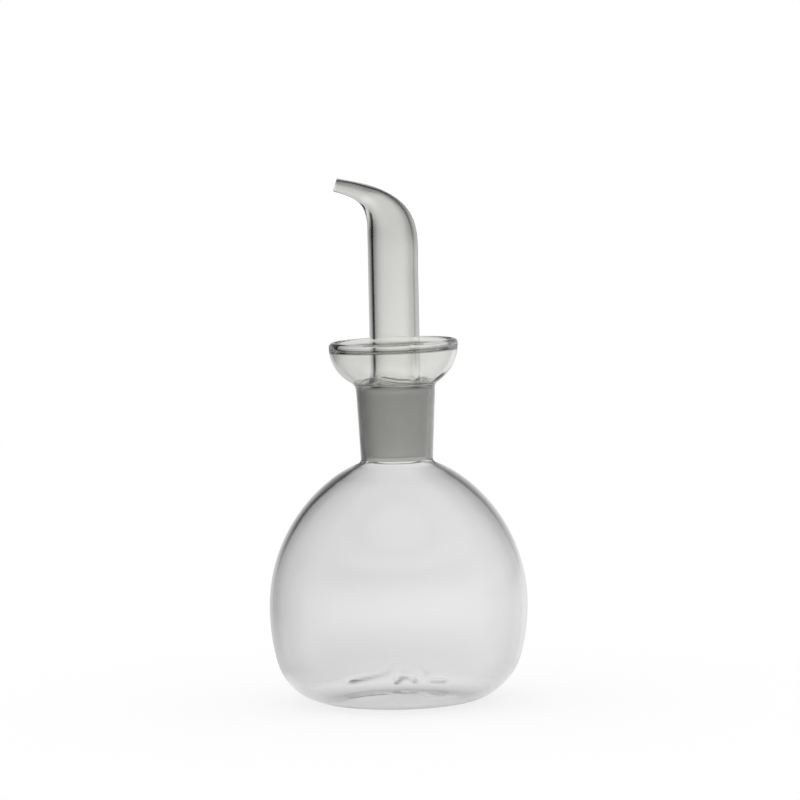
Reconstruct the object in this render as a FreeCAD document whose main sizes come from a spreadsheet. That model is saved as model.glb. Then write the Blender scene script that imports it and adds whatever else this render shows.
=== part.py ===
import FreeCAD, Part
import math
import os
import Sketcher

# An oil cruet of clear laboratory glass. A round blown flask carries a neck ground inside to a
# standard taper, and a cup around the neck's mouth catches what runs down the spout. A hollow plug
# ground to the same taper sits in the neck, and a bent spout is drawn out of the plug.
# The flask stands on z = 0, its axis is Z and the spout points to -X.

# Driving sizes, in millimetres and degrees.
SIZES = {
    # flask bulb: outside shape, from the base up to the seam under the neck
    "body_dia": 107.8,
    "base_height": 8.5,
    "widest_height": 40.2,
    "ring_dia": 54.4,
    "ring_width": 3.0,
    "punt_rise": 2.0,
    "lower_turn_deg": 14.8,
    "side_turn_deg": 53.6,
    "shoulder_turn_deg": 15.2,
    "neck_fillet": 2.2,
    "neck_height": 101.7,
    "bulb_wall": 1.8,
    # ground joint: bore at the large end, length, length for each unit of diameter, and running gap
    "joint_dia": 29.2,
    "joint_length": 32.0,
    "taper_ratio": 10.0,
    "joint_gap": 0.05,
    "neck_wall": 2.0,
    # drip cup: it is fused on a little below the joint's large end
    "cup_dia": 53.8,
    "cup_rise": 16.2,
    "cup_overlap": 3.0,
    "cup_fillet": 3.5,
    "cup_wall": 1.5,
    "bead_dia": 3.0,
    # plug: its ground face stops short of the neck's, and a groove lets air in and drips back
    "plug_short": 1.4,
    "plug_wall": 2.0,
    "plug_shoulder": 3.6,
    "groove_width": 3.0,
    "groove_depth": 1.0,
    "lip_length": 3.5,
    # spout: a straight tube whose far side bends over first, then its near side, and a drawn-out tip
    "tube_dia": 20.8,
    "tube_wall": 1.9,
    "tube_length": 56.0,
    "outer_bend": 20.9,
    "inner_bend": 24.6,
    "bend_lag": 4.9,
    "bend_turn_deg": 36.7,
    "tip_reach": 23.0,
    "tip_rise": 22.6,
    "tip_turn_deg": 72.5,
    "tip_run": 10.0,
    "drawn_dia": 7.5,
    "tip_dia": 5.7,
    "tip_wall": 0.8,
}

# Steps between the circles that shape the bend of the spout.
BEND_STEPS = 2

# Ends of a line or arc, and its centre, as a sketch numbers them.
START = 1
END = 2
CENTRE = 3

# A sketch numbers its origin point and its two axes like this.
ORIGIN = (-1, 1)
ACROSS = -1
UPRIGHT = -2

doc = FreeCAD.newDocument("oil_cruet")

sheet = doc.addObject("Spreadsheet::Sheet", "Sizes")
for row, (alias, number) in enumerate(SIZES.items(), 1):
    sheet.set(f"A{row}", alias)
    sheet.set(f"B{row}", str(number))
    sheet.setAlias(f"B{row}", alias)
doc.recompute()

# Sizes that several pieces share, as expressions of the sheet's cells.
TAPER = "atan(0.5 / Sizes.taper_ratio) / 1 deg"
JOINT_TOP = "(Sizes.neck_height + Sizes.joint_length)"
BORE_FOOT = "(Sizes.joint_dia / 2 - Sizes.joint_length / (2 * Sizes.taper_ratio))"
BORE_CUP = "(Sizes.joint_dia / 2 - Sizes.cup_overlap / (2 * Sizes.taper_ratio))"
GROUND_LENGTH = "(Sizes.joint_length - Sizes.plug_short)"
PLUG_TOP = "(Sizes.joint_dia / 2 - Sizes.joint_gap)"
PLUG_FOOT = f"({PLUG_TOP} - {GROUND_LENGTH} / (2 * Sizes.taper_ratio))"
TUBE_RADIUS = "(Sizes.tube_dia / 2)"
TUBE_BORE = "(Sizes.tube_dia / 2 - Sizes.tube_wall)"


def value(expression):
    """The number that an expression of the sheet's cells gives now."""
    result = sheet.evalExpression(expression)
    return float(getattr(result, "Value", result))


class Outline:
    """A closed outline in the plane of the spout: x runs across and y runs up the body's axis."""

    def __init__(self, body, name):
        self.sketch = body.newObject("Sketcher::SketchObject", name)
        planes = [feature for feature in body.Origin.OriginFeatures if feature.Role == "XZ_Plane"]
        self.sketch.AttachmentSupport = [(planes[0], "")]
        self.sketch.MapMode = "FlatFace"

    def line(self, start, end):
        """A straight edge between two (x, y) points."""
        return self.sketch.addGeometry(Part.LineSegment(FreeCAD.Vector(*start), FreeCAD.Vector(*end)))

    def arc(self, centre, radius, first, last):
        """A round edge about an (x, y) centre, anticlockwise between two directions in degrees."""
        circle = Part.Circle(FreeCAD.Vector(*centre), FreeCAD.Vector(0, 0, 1), radius)
        return self.sketch.addGeometry(Part.ArcOfCircle(circle, math.radians(first), math.radians(last)))

    def rule(self, *terms):
        """A geometric rule without a size."""
        self.sketch.addConstraint(Sketcher.Constraint(*terms))

    def smooth(self, one, one_end, other, other_end):
        """Join two edges so that one runs into the other without a corner."""
        self.rule("Tangent", one, one_end, other, other_end)

    def meet(self, one, one_end, other, other_end):
        """Join two edges at a corner."""
        self.rule("Coincident", one, one_end, other, other_end)

    def size(self, name, expression, kind, *terms):
        """A size that follows an expression of the sheet's cells."""
        number = value(expression)
        if kind == "Angle":
            number = math.radians(number)
        index = self.sketch.addConstraint(Sketcher.Constraint(kind, *terms, number))
        self.sketch.renameConstraint(index, name)
        self.sketch.setExpression("Constraints." + name, expression)

    def place(self, name, edge, end, across, up):
        """Put the end of an edge at a place given by two expressions."""
        self.size(name + "_x", across, "DistanceX", *ORIGIN, edge, end)
        self.size(name + "_y", up, "DistanceY", *ORIGIN, edge, end)


def new_body(name, height):
    """An empty body whose own origin is at a height on the cruet's axis."""
    body = doc.addObject("PartDesign::Body", name)
    body.setExpression("Placement.Base.z", height)
    return body


def revolve(body, outline, kind="Revolution"):
    """Turn an outline about the body's axis, as glass is worked on a lathe; a Groove takes it away."""
    turned = body.newObject("PartDesign::" + kind, outline.sketch.Name + "_turned")
    turned.Profile = outline.sketch
    turned.ReferenceAxis = (outline.sketch, ["V_Axis"])
    turned.Angle = 360.0
    doc.recompute()
    return turned


def tangent_arcs(run, rise, first_turn, whole_turn):
    """Radii of two arcs in a row that start upright and cover a run and a rise.

    The first arc turns by first_turn and the second goes on to whole_turn, both in degrees.
    """
    first = math.radians(first_turn)
    whole = math.radians(whole_turn)
    first_run, first_rise = 1.0 - math.cos(first), math.sin(first)
    second_run, second_rise = math.cos(first) - math.cos(whole), math.sin(whole) - math.sin(first)
    scale = first_run * second_rise - second_run * first_rise
    return ((run * second_rise - second_run * rise) / scale,
            (first_run * rise - run * first_rise) / scale)


def polar(centre, radius, direction):
    """The point at a radius from a centre, in a direction in degrees."""
    angle = math.radians(direction)
    return centre[0] + radius * math.cos(angle), centre[1] + radius * math.sin(angle)


def bulb_outline(body, name, inset):
    """Half outline of the bulb, moved inwards by an expression: 0 outside, the wall inside.

    From the axis it runs along the pushed-up middle and the flat ring, round the base corner, up two
    gentle side arcs and the shoulder, and through a small fillet to the seam under the neck.
    """
    widest_x = f"Sizes.body_dia / 2 - {inset}"
    punt_y = f"Sizes.punt_rise + {inset}"
    fillet_size = f"Sizes.neck_fillet + {inset}"
    neck_x = f"{BORE_FOOT} + Sizes.neck_wall - {inset} * cos({TAPER})"
    neck_y = f"Sizes.neck_height + {inset} * sin({TAPER})"

    widest = value(widest_x)
    equator = value("Sizes.widest_height")
    ground = value(inset)
    ring = value("Sizes.ring_dia / 2")
    ring_inside = ring - value("Sizes.ring_width")
    rise = value("Sizes.punt_rise")
    neck = (value(neck_x), value(neck_y))
    taper = value(TAPER)
    low = value("Sizes.lower_turn_deg")
    side = value("Sizes.side_turn_deg")
    whole = side + value("Sizes.shoulder_turn_deg")
    fillet = value(fillet_size)
    fillet_centre = polar(neck, fillet, -taper)
    fillet_end = polar(fillet_centre, fillet, 180 + whole)
    low_radius, corner_radius = tangent_arcs(widest - ring, equator - ground, low, 90)
    side_radius, shoulder_radius = tangent_arcs(
        widest - fillet_end[0], fillet_end[1] - equator, side, whole)
    shoulder_centre = polar((widest - side_radius, equator), side_radius - shoulder_radius, side)
    punt_radius = (ring_inside ** 2 + rise ** 2) / (2 * rise)
    punt_edge = math.degrees(math.acos(ring_inside / punt_radius))

    shape = Outline(body, name)
    punt = shape.arc((0, ground + rise - punt_radius), punt_radius, punt_edge, 90)
    foot = shape.line((ring_inside, ground), (ring, ground))
    corner = shape.arc((ring, ground + corner_radius), corner_radius, -90, -low)
    low_side = shape.arc((widest - low_radius, equator), low_radius, -low, 0)
    high_side = shape.arc((widest - side_radius, equator), side_radius, 0, side)
    shoulder = shape.arc(shoulder_centre, shoulder_radius, side, whole)
    throat = shape.arc(fillet_centre, fillet, 180 - taper, 180 + whole)
    mouth = shape.line(neck, (0, neck[1]))
    axis = shape.line((0, neck[1]), (0, ground + rise))

    shape.meet(punt, START, foot, START)
    shape.smooth(foot, END, corner, START)
    shape.smooth(corner, END, low_side, START)
    shape.smooth(low_side, END, high_side, START)
    shape.smooth(high_side, END, shoulder, START)
    shape.smooth(shoulder, END, throat, END)
    shape.meet(throat, START, mouth, START)
    shape.meet(mouth, END, axis, START)
    shape.meet(axis, END, punt, END)
    shape.rule("Horizontal", foot)
    shape.rule("Horizontal", mouth)
    shape.rule("PointOnObject", axis, START, UPRIGHT)
    shape.rule("PointOnObject", axis, END, UPRIGHT)
    shape.rule("PointOnObject", punt, CENTRE, UPRIGHT)
    shape.rule("Horizontal", low_side, CENTRE, low_side, END)
    shape.size("punt_rise", punt_y, "DistanceY", *ORIGIN, axis, END)
    shape.place("ring", foot, END, "Sizes.ring_dia / 2", inset)
    shape.size("ring_width", "Sizes.ring_width", "DistanceX", foot, START, foot, END)
    shape.place("widest", low_side, END, widest_x, "Sizes.widest_height")
    shape.size("lower_turn", "Sizes.lower_turn_deg", "Angle", low_side)
    shape.size("side_turn", "Sizes.side_turn_deg", "Angle", high_side)
    shape.size("shoulder_turn", "Sizes.shoulder_turn_deg", "Angle", shoulder)
    shape.size("neck_fillet", fillet_size, "Radius", throat)
    shape.size("neck_turn", f"Sizes.side_turn_deg + Sizes.shoulder_turn_deg + {TAPER}", "Angle", throat)
    shape.place("neck", throat, START, neck_x, neck_y)
    return shape


def halves(whole, height, lower_name):
    """What lies above and what lies below a level cut through a piece of the flask."""
    below = doc.addObject("Part::Cylinder", f"{lower_name}_reach")
    below.setExpression("Radius", "Sizes.body_dia")
    below.setExpression("Height", height)
    upper = doc.addObject("Part::Cut", f"{lower_name}_above")
    lower = doc.addObject("Part::Common", lower_name)
    for half in (upper, lower):
        half.Base = whole
        half.Tool = below
    return upper, lower


def flask_bulb():
    """Blown bulb: one wall thickness all over, standing on a flat ring around a pushed-up middle.

    It is given as three sections: the base, the belly up to the bulb's widest, and the dome above it.
    """
    bulb = new_body("flask_bulb", "0")
    revolve(bulb, bulb_outline(bulb, "bulb_outside", "0"))
    revolve(bulb, bulb_outline(bulb, "bulb_inside", "Sizes.bulb_wall"), "Groove")
    above_base, base = halves(bulb, "Sizes.base_height", "flask_base")
    dome, belly = halves(above_base, "Sizes.widest_height", "flask_belly")
    dome.Label = "flask_dome"
    return base, belly, dome


def neck_socket():
    """Neck: a tube ground inside to the joint's taper, with an even wall."""
    length = "Sizes.joint_length - Sizes.cup_overlap"
    outside = doc.addObject("Part::Cone", "neck_outside")
    outside.setExpression("Radius1", f"{BORE_FOOT} + Sizes.neck_wall")
    outside.setExpression("Radius2", f"{BORE_CUP} + Sizes.neck_wall")
    outside.setExpression("Height", length)
    bore = doc.addObject("Part::Cone", "neck_bore")
    bore.setExpression("Radius1", BORE_FOOT)
    bore.setExpression("Radius2", BORE_CUP)
    bore.setExpression("Height", length)
    neck = doc.addObject("Part::Cut", "neck_socket")
    neck.Base = outside
    neck.Tool = bore
    neck.setExpression("Placement.Base.z", "Sizes.neck_height")
    return neck


def drip_cup():
    """Cup fused around the neck's mouth: a round bowl with a fire-polished bead for its rim."""
    body = new_body("drip_cup", f"{JOINT_TOP} - Sizes.cup_overlap")
    neck = value(f"{BORE_CUP} + Sizes.neck_wall")
    bore = value(BORE_CUP)
    rim = value("Sizes.cup_dia / 2")
    bead = value("Sizes.bead_dia / 2")
    bead_height = value("Sizes.cup_overlap + Sizes.cup_rise - Sizes.bead_dia / 2")
    wall = value("Sizes.cup_wall")
    taper = value(TAPER)
    fillet = value("Sizes.cup_fillet")

    # The bowl's arc ends upright at the bead; where it starts, it runs into the fillet.
    fillet_centre = polar((neck, 0), fillet, -taper)
    reach = rim - fillet_centre[0]
    climb = bead_height - fillet_centre[1]
    bowl_radius = (reach ** 2 + climb ** 2 - fillet ** 2) / (2 * (reach + fillet))
    bowl_centre = (rim - bowl_radius, bead_height)
    slope = math.degrees(math.atan2(fillet_centre[1] - bowl_centre[1], fillet_centre[0] - bowl_centre[0]))
    inner_radius = bowl_radius - wall
    throat_height = bead_height - math.sqrt(inner_radius ** 2 - (bore - bowl_centre[0]) ** 2)
    throat = (bore, throat_height)
    throat_slope = math.degrees(math.atan2(throat[1] - bowl_centre[1], throat[0] - bowl_centre[0]))
    bead_centre = (rim - bead, bead_height)
    reach_in = bowl_radius - bead
    lining_end = -math.degrees(
        math.acos((inner_radius ** 2 + reach_in ** 2 - bead ** 2) / (2 * inner_radius * reach_in)))
    bead_foot = polar(bowl_centre, inner_radius, lining_end)
    bead_turn = math.degrees(math.atan2(bead_foot[1] - bead_centre[1], bead_foot[0] - bead_centre[0])) % 360

    shape = Outline(body, "cup_outline")
    seam = shape.line((bore, 0), (neck, 0))
    flare = shape.arc(fillet_centre, fillet, slope + 180, 180 - taper)
    bowl = shape.arc(bowl_centre, bowl_radius, slope, 0)
    lip = shape.arc(bead_centre, bead, 0, bead_turn)
    lining = shape.arc(bowl_centre, inner_radius, throat_slope, lining_end)
    ground = shape.line(throat, (bore, 0))
    gauge = shape.line((rim, bead_height), (rim - wall, bead_height))
    shape.sketch.setConstruction(gauge, True)

    shape.meet(seam, END, flare, END)
    shape.smooth(flare, START, bowl, START)
    shape.smooth(bowl, END, lip, START)
    shape.meet(lip, END, lining, END)
    shape.meet(lining, START, ground, START)
    shape.meet(ground, END, seam, START)
    shape.meet(gauge, START, bowl, END)
    shape.rule("Horizontal", seam)
    shape.rule("Horizontal", gauge)
    shape.rule("Horizontal", bowl, CENTRE, bowl, END)
    shape.rule("Coincident", bowl, CENTRE, lining, CENTRE)
    shape.rule("PointOnObject", gauge, END, lining)
    shape.place("bore", seam, START, BORE_CUP, "0")
    shape.size("neck_wall", "Sizes.neck_wall", "DistanceX", seam, START, seam, END)
    shape.size("cup_fillet", "Sizes.cup_fillet", "Radius", flare)
    shape.size("flare_centre", f"Sizes.cup_fillet * sin({TAPER})", "DistanceY", flare, CENTRE, *ORIGIN)
    shape.place("rim", bowl, END, "Sizes.cup_dia / 2",
                "Sizes.cup_overlap + Sizes.cup_rise - Sizes.bead_dia / 2")
    shape.size("bead_radius", "Sizes.bead_dia / 2", "Radius", lip)
    shape.size("cup_wall", "Sizes.cup_wall", "DistanceX", gauge, END, gauge, START)
    shape.size("ground_lean", f"90 - {TAPER}", "Angle", ACROSS, START, ground, END)
    revolve(body, shape)
    return body


def ground_plug():
    """Plug: a hollow cone ground outside to the joint's taper, drawn in at the top to the spout."""
    body = new_body("ground_plug", JOINT_TOP)
    top = value(PLUG_TOP)
    foot = value(PLUG_FOOT)
    length = value(GROUND_LENGTH)
    wall = value("Sizes.plug_wall")
    tube = value(TUBE_RADIUS)
    tube_bore = value(TUBE_BORE)
    shoulder = value("Sizes.plug_shoulder")
    half_step = (top - tube) / 2
    curve = (half_step ** 2 + (shoulder / 2) ** 2) / (2 * half_step)
    turn = math.degrees(2 * math.atan2(half_step, shoulder / 2))

    shape = Outline(body, "plug_outline")
    end_ring = shape.line((foot - wall, -length), (foot, -length))
    ground = shape.line((foot, -length), (top, 0))
    crown = shape.arc((top - curve, 0), curve, 0, turn)
    hollow = shape.arc((tube + curve, shoulder), curve, 180, 180 + turn)
    seam = shape.line((tube, shoulder), (tube_bore, shoulder))
    funnel = shape.line((tube_bore, shoulder), (top - wall, 0))
    inside = shape.line((top - wall, 0), (foot - wall, -length))

    shape.meet(end_ring, END, ground, START)
    shape.smooth(ground, END, crown, START)
    shape.smooth(crown, END, hollow, END)
    shape.meet(hollow, START, seam, START)
    shape.meet(seam, END, funnel, START)
    shape.meet(funnel, END, inside, START)
    shape.meet(inside, END, end_ring, START)
    shape.rule("Horizontal", end_ring)
    shape.rule("Horizontal", seam)
    shape.rule("Horizontal", hollow, CENTRE, hollow, START)
    shape.rule("Equal", crown, hollow)
    shape.rule("PointOnObject", ground, END, ACROSS)
    shape.rule("PointOnObject", funnel, END, ACROSS)
    shape.place("foot", end_ring, END, PLUG_FOOT, f"-{GROUND_LENGTH}")
    shape.size("top_radius", PLUG_TOP, "DistanceX", *ORIGIN, ground, END)
    shape.place("seam", seam, START, TUBE_RADIUS, "Sizes.plug_shoulder")
    shape.size("tube_wall", "Sizes.tube_wall", "DistanceX", seam, END, seam, START)
    shape.size("foot_wall", "Sizes.plug_wall", "DistanceX", end_ring, START, end_ring, END)
    shape.size("top_wall", "Sizes.plug_wall", "DistanceX", funnel, END, ground, END)
    turned = revolve(body, shape)
    whole_volume = turned.Shape.Volume

    # The groove runs the length of the ground face and opens above it, on the side away from the spout.
    depth = value("Sizes.groove_depth")
    cut = Outline(body, "groove_outline")
    floor = cut.line((foot - depth, -length), (top - depth, 0))
    rise = cut.line((top - depth, 0), (top - depth, shoulder))
    lid = cut.line((top - depth, shoulder), (top + depth, shoulder))
    outer = cut.line((top + depth, shoulder), (top + depth, -length))
    end = cut.line((top + depth, -length), (foot - depth, -length))
    cut.meet(floor, END, rise, START)
    cut.meet(rise, END, lid, START)
    cut.meet(lid, END, outer, START)
    cut.meet(outer, END, end, START)
    cut.meet(end, END, floor, START)
    cut.rule("Vertical", rise)
    cut.rule("Horizontal", lid)
    cut.rule("Vertical", outer)
    cut.rule("Horizontal", end)
    cut.place("foot", floor, START, f"{PLUG_FOOT} - Sizes.groove_depth", f"-{GROUND_LENGTH}")
    cut.place("top", floor, END, f"{PLUG_TOP} - Sizes.groove_depth", "0")
    cut.place("lid", lid, END, f"{PLUG_TOP} + Sizes.groove_depth", "Sizes.plug_shoulder")
    groove = body.newObject("PartDesign::Pocket", "plug_groove")
    groove.Profile = cut.sketch
    groove.SideType = "Symmetric"
    groove.setExpression("Length", "Sizes.groove_width")
    doc.recompute()
    assert groove.Shape.Volume < whole_volume
    return body


def plug_end():
    """Clear end of the plug below its ground face: a thin ring with a melted, round edge."""
    body = new_body("plug_end", "Sizes.neck_height + Sizes.plug_short")
    outside = value(f"{PLUG_FOOT} - Sizes.groove_depth")
    inside = value(f"{PLUG_FOOT} - Sizes.plug_wall")
    edge = (outside - inside) / 2
    straight = value("Sizes.lip_length") - edge

    shape = Outline(body, "lip_outline")
    seam = shape.line((inside, 0), (outside, 0))
    outer = shape.line((outside, 0), (outside, -straight))
    melted = shape.arc((inside + edge, -straight), edge, 180, 360)
    inner = shape.line((inside, -straight), (inside, 0))
    shape.meet(seam, END, outer, START)
    shape.smooth(outer, END, melted, END)
    shape.smooth(melted, START, inner, START)
    shape.meet(inner, END, seam, START)
    shape.rule("Vertical", outer)
    shape.rule("Vertical", inner)
    shape.rule("Horizontal", seam)
    shape.place("outside", seam, END, f"{PLUG_FOOT} - Sizes.groove_depth", "0")
    shape.size("inside", f"{PLUG_FOOT} - Sizes.plug_wall", "DistanceX", *ORIGIN, seam, START)
    shape.size("straight", "Sizes.lip_length - (Sizes.plug_wall - Sizes.groove_depth) / 2",
               "DistanceY", outer, END, outer, START)
    revolve(body, shape)
    return body


def spout_circles(name, tube_wall, tip_wall):
    """Circles along the spout from its straight run to its tip, inset by two wall expressions.

    In the plane of the bend the spout lies between two edges, each upright and then an arc. A circle
    tilted by an angle touches both: it leaves the outer arc at that angle plus a spread, the inner
    arc at the angle less the spread, and its diameter meets both edges alike.
    """
    middle = f"({TUBE_RADIUS} * 2 - Sizes.outer_bend + Sizes.inner_bend)"
    first = f"atan(Sizes.bend_lag / (Sizes.outer_bend - {TUBE_RADIUS}) / 2) / 1 deg"
    rings = [("0", f"Sizes.tube_length - {TUBE_RADIUS}", "0", f"{TUBE_RADIUS} - {tube_wall}"),
             ("0", "Sizes.tube_length", "0", f"{TUBE_RADIUS} - {tube_wall}")]
    for step in range(BEND_STEPS + 1):
        tilt = f"({first} + (Sizes.bend_turn_deg - {first}) * {step} / {BEND_STEPS})"
        spread = (f"(asin(({middle} * sin({tilt}) + Sizes.bend_lag * cos({tilt}))"
                  f" / (Sizes.outer_bend + Sizes.inner_bend)) / 1 deg)")
        outer_x = f"({TUBE_RADIUS} - Sizes.outer_bend * (1 - cos({tilt} + {spread})))"
        outer_z = f"Sizes.outer_bend * sin({tilt} + {spread})"
        inner_x = f"(-{TUBE_RADIUS} - Sizes.inner_bend * (1 - cos({tilt} - {spread})))"
        inner_z = f"(Sizes.bend_lag + Sizes.inner_bend * sin({tilt} - {spread}))"
        width = (f"({middle} * cos({tilt}) - Sizes.bend_lag * sin({tilt})"
                 f" + (Sizes.outer_bend - Sizes.inner_bend) * cos({spread}))")
        wall = f"({tube_wall} + ({tip_wall} - {tube_wall}) * {step} / ({BEND_STEPS} + 1))"
        rings.append((f"({outer_x} + {inner_x}) / 2", f"Sizes.tube_length + ({outer_z} + {inner_z}) / 2",
                      tilt, f"{width} / 2 - {wall}"))
    rings.append(("-Sizes.tip_reach + Sizes.tip_run * sin(Sizes.tip_turn_deg)",
                  "Sizes.tube_length + Sizes.tip_rise - Sizes.tip_run * cos(Sizes.tip_turn_deg)",
                  "Sizes.tip_turn_deg", f"Sizes.drawn_dia / 2 - {tip_wall}"))
    rings.append(("-Sizes.tip_reach", "Sizes.tube_length + Sizes.tip_rise", "Sizes.tip_turn_deg",
                  f"Sizes.tip_dia / 2 - {tip_wall}"))

    circles = []
    for number, (across, up, tilt, radius) in enumerate(rings):
        circle = doc.addObject("Part::Circle", f"{name}_ring_{number}")
        circle.Placement.Rotation = FreeCAD.Rotation(FreeCAD.Vector(0, -1, 0), 1)
        circle.setExpression("Radius", radius)
        circle.setExpression("Placement.Base.x", across)
        circle.setExpression("Placement.Base.z", up)
        circle.setExpression("Placement.Rotation.Angle", f"{tilt} * 1 deg")
        circles.append(circle)
    return circles


def spout_rod(name, tube_wall, tip_wall):
    """A rod along the spout, inset by two wall expressions: straight, bent to -X and drawn to the tip."""
    straight = doc.addObject("Part::Cylinder", name + "_straight")
    straight.setExpression("Radius", f"{TUBE_RADIUS} - {tube_wall}")
    straight.setExpression("Height", f"Sizes.tube_length - {TUBE_RADIUS}")
    drawn = doc.addObject("Part::Loft", name + "_drawn")
    drawn.Sections = spout_circles(name, tube_wall, tip_wall)
    drawn.Solid = True
    rod = doc.addObject("Part::Fuse", name)
    rod.Base = straight
    rod.Tool = drawn
    return rod


def spout_tube():
    """Spout: a straight tube drawn out of the plug, bent over and pulled to a fine open tip."""
    tube = doc.addObject("Part::Cut", "spout_tube")
    tube.Base = spout_rod("spout_outside", "0", "0")
    tube.Tool = spout_rod("spout_bore", "Sizes.tube_wall", "Sizes.tip_wall")
    tube.setExpression("Placement.Base.z", f"{JOINT_TOP} + Sizes.plug_shoulder")
    return tube


pieces = [*flask_bulb(), neck_socket(), drip_cup(), ground_plug(), plug_end(), spout_tube()]
doc.recompute()

for item in doc.Objects:
    faults = [state for state in item.State if state in ("Invalid", "Error")]
    assert not faults, f"{item.Name} has not been made: {faults}"
for piece in pieces:
    assert not piece.Shape.isNull(), f"{piece.Label} is empty"
    assert piece.Shape.isValid(), f"{piece.Label} is not valid"
    assert len(piece.Shape.Solids) == 1, f"{piece.Label} is not one solid"

os.makedirs("parts", exist_ok=True)
for piece in pieces:
    piece.Shape.exportStep(f"parts/{piece.Label}.step")
    print(piece.Label, round(piece.Shape.Volume), piece.Shape.optimalBoundingBox())
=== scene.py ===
import bpy
import math
import numpy as np
from mathutils import Matrix, Vector


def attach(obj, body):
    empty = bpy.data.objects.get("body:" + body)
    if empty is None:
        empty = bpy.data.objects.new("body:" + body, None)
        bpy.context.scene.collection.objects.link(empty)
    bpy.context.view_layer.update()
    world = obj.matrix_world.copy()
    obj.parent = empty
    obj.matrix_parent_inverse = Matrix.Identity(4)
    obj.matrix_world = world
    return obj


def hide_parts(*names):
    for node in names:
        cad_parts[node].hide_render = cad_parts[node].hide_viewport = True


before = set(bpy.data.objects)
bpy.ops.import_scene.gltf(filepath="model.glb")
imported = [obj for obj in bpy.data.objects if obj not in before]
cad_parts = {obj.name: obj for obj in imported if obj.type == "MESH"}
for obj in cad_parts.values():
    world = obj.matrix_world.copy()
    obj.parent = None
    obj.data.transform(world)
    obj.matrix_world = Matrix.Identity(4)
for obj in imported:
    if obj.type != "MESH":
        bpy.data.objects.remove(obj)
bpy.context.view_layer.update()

# The flask: one piece of colourless borosilicate glass. The bulb is blown, with a thin, pushed-up base that
# bears low tool marks; the neck is a tube ground matt inside to a taper of 1 in 10; the drip cup is fused
# around the neck's mouth and its rim is melted to a round bead. Sizes are in mm and turns in degrees.
MM = 0.001
BELLY_RADIUS = 53.9
BELLY_HEIGHT = 40.2
RING_RADIUS = 27.2
RING_WIDTH = 3.0
RING_FILLET = 12.0
PUNT_RISE = 2.0
LOWER_TURN = 14.8
SIDE_TURN = 53.6
SHOULDER_TURN = 15.2
NECK_FILLET = 2.2
NECK_FOOT = 101.7
NECK_WALL = 2.0
BORE_FOOT = 13.0
TAPER_RUN = 20
TAPER = math.degrees(math.atan(1 / TAPER_RUN))
CUP_FOOT = 130.7
CUP_FILLET = 3.5
CUP_RADIUS = 26.9
CUP_WALL = 1.5
BEAD_RADIUS = 1.8
BEAD_HEIGHT = 149.0
THROAT_FLARE = 0.12
THROAT_ROUNDING = 0.5


def arc(centre, radius, first, last, step):
    """Points along a circle: the centre plus the radius times the cosine and sine of evenly spaced
    directions, in degrees, with the points about one step apart."""
    count = max(3, int(math.ceil(abs(math.radians(last - first)) * radius / step)) + 1)
    turn = np.radians(np.linspace(first, last, count))
    return np.stack([centre[0] + radius * np.cos(turn), centre[1] + radius * np.sin(turn)], axis=1)


def line(start, end, step):
    """Points along a straight run, evenly spaced and about one step apart."""
    count = max(2, int(math.ceil(math.dist(start, end) / step)) + 1)
    share = np.linspace(0.0, 1.0, count)[:, None]
    return np.asarray(start) * (1.0 - share) + np.asarray(end) * share


def end_to_end(*runs):
    """One outline from runs of points; a point that repeats the one before it is left out."""
    points = np.concatenate(runs)
    fresh = np.ones(len(points), bool)
    fresh[1:] = np.hypot(*np.diff(points, axis=0).T) > 1e-5
    return points[fresh]


def two_arcs(run, rise, first_turn, whole_turn):
    """Radii of two tangent arcs that start upright, turn by first_turn and on to whole_turn, and together
    cover the run and the rise: the two sums of their sines and cosines solved for the radii."""
    first, whole = math.radians(first_turn), math.radians(whole_turn)
    spans = np.array([[1 - math.cos(first), math.cos(first) - math.cos(whole)],
                      [math.sin(first), math.sin(whole) - math.sin(first)]])
    return np.linalg.solve(spans, [run, rise])


def toward(centre, radius, direction):
    """The point at a radius from a centre in a direction in degrees."""
    angle = math.radians(direction)
    return np.array([centre[0] + radius * math.cos(angle), centre[1] + radius * math.sin(angle)])


def heading(vector):
    """The direction of a vector in degrees."""
    return math.degrees(math.atan2(vector[1], vector[0]))


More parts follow.
